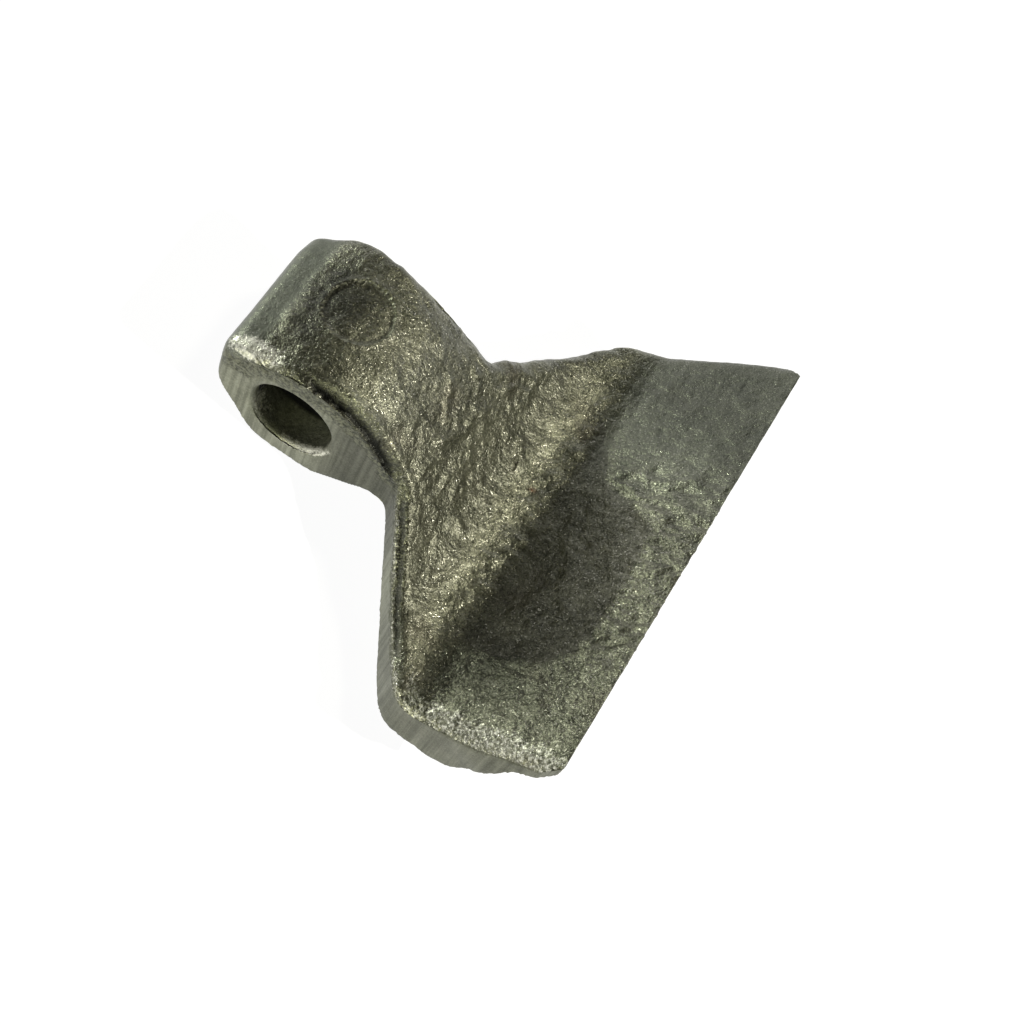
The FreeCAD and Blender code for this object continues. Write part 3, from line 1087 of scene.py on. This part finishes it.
@dataclass(frozen=True)
class BoredWall:
    """The turned wall of the bore, with the rings of the drill, painted near black as shade deeper than its
    mouths.
    """

    # Near-black colours: painted shade inside the bore.
    dark: Colour = (0.007, 0.008, 0.008)
    light: Colour = (0.024, 0.024, 0.023)
    eye: Eye = Eye()

    def share(self, graph: Graph, place: Shade) -> Shade:
        """How far a place lies on the bore's wall.

        Args:
            graph: the node tree that it is written in.
            place: the shaded place in millimetres.

        Returns:
            The share, from 0 to 1.
        """
        flat = graph.stretched(place, (1.0, 0.0, 1.0))
        from_axis = graph.node("ShaderNodeVectorMath", {"operation": "LENGTH"}, {0: flat}, "Value")
        length = graph.stretched(place, (0.0, 1.0, 0.0))
        from_middle = graph.node("ShaderNodeVectorMath", {"operation": "LENGTH"}, {0: length}, "Value")
        on_wall = from_axis.between(self.eye.bore_radius + 0.30, self.eye.bore_radius + 0.15)
        mouth = self.eye.half_width - self.eye.mouth_depth
        return on_wall * from_middle.between(mouth + 0.2, mouth - 0.2)

    def layer(self, graph: Graph, place: Shade) -> Layer:
        """The bore's layer at a place in millimetres.

        Args:
            graph: the node tree that it is written in.
            place: the shaded place in millimetres.

        Returns:
            The layer's colour, roughness and height.
        """
        rings = graph.grain(graph.stretched(place, (0.02, 1.0, 0.02)), 0.7, 2.0)
        fine = graph.grain(place, 0.6, 2.0)
        colour = graph.blend((rings * 0.7 + fine * 0.4).between(0.35, 0.8), self.dark, self.light)
        roughness = graph.slide(rings, 0.78, 0.62)
        return Layer(colour, roughness, rings * 0.05)


@dataclass(frozen=True)
class SteelFinish:
    """The whole steel: scale, sheared sides, bore with painted shade inside, rims with wear and painted
    highlights, painted shade in grooves, painted light and shade patches, and rust.
    """

    name: str = "forged_steel"
    die_frame: DieFrame = DieFrame()
    metallic: float = 0.75
    scale: ForgedScale = ForgedScale()
    side: ShearedFace = ShearedFace()
    bore: BoredWall = BoredWall()
    # Pale colour of the wear and of the painted highlights on rims, corners and the bore's lip.
    rubbed: Colour = (0.86, 0.85, 0.75)
    # Near black: painted shade in creases and scratches.
    painted_crease_shade: Colour = (0.020, 0.021, 0.017)
    rust: Colour = (0.16, 0.060, 0.030)
    calm: Colour = (0.150, 0.162, 0.132)
    torn_dark: Colour = (0.030, 0.033, 0.021)
    torn_light: Colour = (0.240, 0.244, 0.170)

    def over(self, graph: Graph, share: Shade, under: Layer, upper: Layer) -> Layer:
        """Lay one layer over another where the share is 1.

        Args:
            graph: the node tree that it is written in.
            share: how much of the upper layer shows.
            under: the layer below.
            upper: the layer on top.

        Returns:
            The joined layer.
        """
        return Layer(
            graph.blend(share, under.colour, upper.colour),
            graph.slide(share, under.roughness, upper.roughness),
            graph.slide(share, under.height, upper.height),
        )

    def material(self) -> bpy.types.Material:
        """Build the material.

        Returns:
            The steel's material.
        """
        made = bpy.data.materials.new(self.name)
        made.use_nodes = True
        graph = Graph(made.node_tree)
        place = graph.die_place(self.die_frame.slope)
        steel = self.scale.layer(graph, place)
        steel = self.over(graph, graph.mask(Zone.SHEARED), steel, self.side.layer(graph, place))
        bored = self.bore.share(graph, place)
        steel = self.over(graph, bored, steel, self.bore.layer(graph, place))
        patchy = graph.grain(place, 0.8, 3.0, 0.7)
        colour = graph.blend(graph.mask(Zone.SMOOTH) * 0.8, steel.colour, self.calm)
        # Painted shade darkens and painted light lightens the colour here.
        tone = 1.0 - graph.mask(Zone.PAINTED_SHADE) * 0.7 + graph.mask(Zone.PAINTED_LIGHT) * 0.9
        colour = graph.node("ShaderNodeVectorMath", {"operation": "SCALE"}, {"Vector": colour, "Scale": tone})
        mottled = graph.grain(place, 0.9, 3.0, 0.7).between(0.38, 0.64)
        torn = graph.blend(mottled, self.torn_dark, self.torn_light)
        colour = graph.blend(graph.mask(Zone.TORN) * 0.8, colour, torn)
        # Wear and painted highlights turn the colour pale here.
        rubbed_and_highlit_share = (graph.mask(Zone.RUBBED_AND_HIGHLIT) * 0.32 + patchy).between(0.64, 0.98)
        colour = graph.blend(rubbed_and_highlit_share, colour, self.rubbed)
        # Painted shade in creases and scratches.
        colour = graph.blend(graph.mask(Zone.CREASE_SHADE) * 0.95, colour, self.painted_crease_shade)
        colour = graph.blend(graph.mask(Zone.RUST) * 0.8, colour, self.rust)
        height = steel.height * (1.0 - graph.mask(Zone.SMOOTH) * 0.65)
        bump = graph.node("ShaderNodeBump", {}, {"Strength": 1.0, "Distance": MM, "Height": height}, "Normal")
        surface = graph.node(
            "ShaderNodeBsdfPrincipled",
            {},
            {
                "Base Color": colour,
                "Metallic": (1.0 - bored) * self.metallic,
                "Roughness": steel.roughness,
                "Normal": bump,
            },
        )
        self.close(graph, surface)
        return made

    @staticmethod
    def close(graph: Graph, surface: Shade) -> None:
        """Link the finished surface to the material's output.

        Args:
            graph: the material's node tree.
            surface: the shader to show.
        """
        output = graph.tree.nodes.new("ShaderNodeOutputMaterial")
        graph.feed(output.inputs["Surface"], surface)


@dataclass(frozen=True)
class Lamp:
    """A soft lamp: where it stands, what it looks at, its size, power and colour."""

    name: str
    place: tuple[float, float, float]
    aim: tuple[float, float, float]
    size: Point
    power: float
    colour: Colour

    def build(self) -> bpy.types.Object:
        """Place the lamp.

        Returns:
            The lamp.
        """
        light = bpy.data.lights.new(self.name, "AREA")
        light.shape = "RECTANGLE"
        light.size, light.size_y = self.size
        light.energy = self.power
        light.color = self.colour
        lamp = bpy.data.objects.new(self.name, light)
        back = (Vector(self.place) - Vector(self.aim)).normalized()
        lamp.rotation_mode = "QUATERNION"
        lamp.rotation_quaternion = back.to_track_quat("Z", "Y")
        lamp.location = self.place
        lamp.visible_camera = False
        bpy.context.scene.collection.objects.link(lamp)
        return lamp


@dataclass
class Studio:
    """The pale floor, the world's light and the soft lamps."""

    floor_level: float = -0.01797
    floor_radius: float = 3.0
    wall_height: float = 1.2
    bend: float = 0.6
    sides: int = 96
    seen_colour: Colour = (0.22, 0.22, 0.22)
    unseen_colour: Colour = (0.13, 0.13, 0.10)
    glow: Colour = (0.95, 0.95, 0.955)
    sky: float = 0.01
    sky_colour: Colour = (1.0, 1.0, 0.84)
    lamps: tuple[Lamp, ...] = (
        Lamp("warm_key", (0.808, 0.0, 0.914), (0.03, 0.0, 0.0), (0.025, 0.025), 8.6, (1.0, 0.965, 0.86)),
        Lamp("high_far", (0.095, 0.404, 0.801), (0.03, 0.0, 0.0), (0.12, 0.12), 1.5, (1.0, 0.97, 0.78)),
        Lamp("low_back", (-0.589, 0.102, -0.014), (0.0, 0.0, 0.0), (0.012, 0.012), 1.4, (0.94, 1.0, 0.80)),
        Lamp("near_side", (0.011, -0.897, 0.076), (0.03, 0.0, 0.0), (0.35, 0.35), 1.9, (0.99, 1.0, 0.52)),
        Lamp("near_back", (-0.433, -0.772, 0.016), (0.03, 0.0, 0.0), (0.35, 0.35), 0.72, (0.98, 1.0, 0.58)),
    )

    def floor(self) -> bpy.types.Object:
        """A round floor that curves up into a low wall.

        Returns:
            The floor.
        """
        rings = [(0.0, 0.0), (0.4, 0.0), (1.0, 0.0), (2.0, 0.0)]
        steps = 8
        for step in range(steps + 1):
            angle = math.radians(90.0 * step / steps)
            radius = self.floor_radius - self.bend * (1.0 - math.sin(angle))
            rings.append((radius, self.bend * (1.0 - math.cos(angle))))
        rings.append((self.floor_radius, self.wall_height))
        sides = self.sides
        corners: list[tuple[float, float, float]] = [(0.0, 0.0, self.floor_level)]
        for radius, height in rings[1:]:
            for side in range(sides):
                turn = math.tau * side / sides
                corners.append((radius * math.cos(turn), radius * math.sin(turn), self.floor_level + height))
        faces: list[tuple[int, ...]] = [(0, 1 + side, 1 + (side + 1) % sides) for side in range(sides)]
        for ring in range(len(rings) - 2):
            start = 1 + ring * sides
            for side in range(sides):
                following = (side + 1) % sides
                outer = start + sides
                faces.append((start + side, outer + side, outer + following, start + following))
        mesh = bpy.data.meshes.new("studio_floor")
        mesh.from_pydata(corners, [], faces)
        mesh.shade_smooth()
        mesh.materials.append(self.pale())
        ground = bpy.data.objects.new("studio_floor", mesh)
        bpy.context.scene.collection.objects.link(ground)
        return ground

    def pale(self) -> bpy.types.Material:
        """A pale floor that reads white in the picture and keeps the shadow.

        Returns:
            The floor's material.
        """
        made = bpy.data.materials.new("pale_floor")
        made.use_nodes = True
        graph = Graph(made.node_tree)
        camera = graph.node("ShaderNodeLightPath", {}, {}, "Is Camera Ray")
        glossy = graph.node("ShaderNodeLightPath", {}, {}, "Is Glossy Ray")
        through = graph.node("ShaderNodeLightPath", {}, {}, "Is Transmission Ray")
        seen = camera.largest(glossy).largest(through)
        surface = graph.node(
            "ShaderNodeBsdfPrincipled",
            {},
            {
                "Base Color": graph.blend(seen, self.unseen_colour, self.seen_colour),
                "Roughness": 0.9,
                "Specular IOR Level": 0.0,
                "Emission Color": graph.blend(seen, (0.0, 0.0, 0.0), self.glow),
                "Emission Strength": 1.0,
            },
        )
        SteelFinish.close(graph, surface)
        return made

    def world(self) -> None:
        """An even, plain light from all round."""
        world = bpy.data.worlds.new("studio_world")
        world.use_nodes = True
        background = world.node_tree.nodes["Background"]
        background.inputs["Color"].default_value = (*self.sky_colour, 1.0)
        background.inputs["Strength"].default_value = self.sky
        bpy.context.scene.world = world

    def build(self) -> None:
        """Set up the whole studio."""
        self.floor()
        self.world()
        for lamp in self.lamps:
            lamp.build()
        LOG.info("studio: floor, world and %d lamps", len(self.lamps))


@dataclass
class Viewpoint:
    """The camera at the photograph's viewing angle."""

    place: tuple[float, float, float] = (-0.046364, -0.215490, 0.404481)
    look: tuple[float, float, float] = (0.217548, 0.456483, -0.862726)
    up: tuple[float, float, float] = (-0.629954, 0.740817, 0.233127)
    lens: float = 68.945

    def build(self) -> bpy.types.Object:
        """Place the camera and make it the scene's own.

        Returns:
            The camera.
        """
        data = bpy.data.cameras.new("camera")
        data.lens = self.lens
        data.sensor_width = 36.0
        data.clip_start = 0.01
        data.clip_end = 50.0
        camera = bpy.data.objects.new("camera", data)
        back = -Vector(self.look).normalized()
        right = Vector(self.up).cross(back).normalized()
        up = back.cross(right)
        turn = Matrix((right, up, back)).transposed().to_4x4()
        camera.matrix_world = Matrix.Translation(self.place) @ turn
        bpy.context.scene.collection.objects.link(camera)
        bpy.context.scene.camera = camera
        LOG.info("camera: lens %.1f mm", self.lens)
        return camera


def main() -> None:
    """Build the camera, the studio and the hammer."""
    logging.basicConfig(level=logging.INFO, format="%(name)s: %(message)s")
    bpy.context.scene.view_settings.view_transform = "Standard"
    Viewpoint().build()
    Studio().build()
    Forging().build(SteelFinish())


if __name__ == "__main__":
    main()
